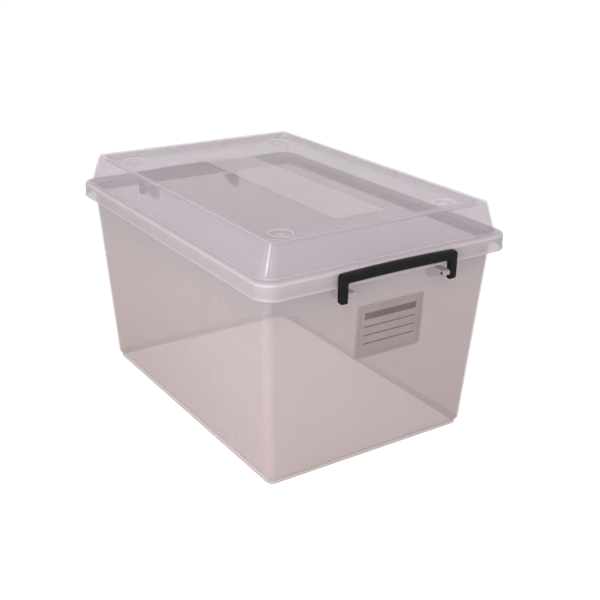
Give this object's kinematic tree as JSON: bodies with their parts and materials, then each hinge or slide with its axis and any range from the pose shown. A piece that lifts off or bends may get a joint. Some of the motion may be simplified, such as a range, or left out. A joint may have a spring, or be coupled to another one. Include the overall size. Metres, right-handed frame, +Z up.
{
  "type": "portable file box",
  "caption": "Clear rectangular storage box with leaning walls, a domed lift-off lid with a recessed top, and a black swing-over clip handle at each end.",
  "frame": {"origin": "centre of the flat face that the box stands on", "axes": "+Z up, X along the length with the labelled end at +X, Y across the width"},
  "size_m": [0.5668, 0.387, 0.3348],
  "materials": {
    "clear_tub": "smooth natural polypropylene, milky and see-through, slightly pink grey",
    "clear_lid": "smooth natural polypropylene, milky and see-through, with a frosted strip along the top",
    "black_clip": "black moulded plastic, satin",
    "label_film": "thin pale adhesive film with plain ruled lines"
  },
  "bodies": {
    "tub_body": {"tub": "clear_tub", "end_label": "label_film"},
    "lid_body": {"lid": "clear_lid"},
    "front_clip_body": {"front_clip": "black_clip"},
    "back_clip_body": {"back_clip": "black_clip"}
  },
  "joints": [
    {"name": "lid_lift", "type": "slide", "parent": "tub_body", "child": "lid_body", "axis": [0, 0, 1], "range_m": [0, 0.1]},
    {"name": "front_clip_swing", "type": "hinge", "parent": "tub_body", "child": "front_clip_body", "pos_m": [0.2793, 0, 0.2615], "axis": [0, 1, 0], "range_deg": [0, 215]},
    {"name": "back_clip_swing", "type": "hinge", "parent": "tub_body", "child": "back_clip_body", "pos_m": [-0.2793, 0, 0.2615], "axis": [0, -1, 0], "range_deg": [0, 215]}
  ]
}
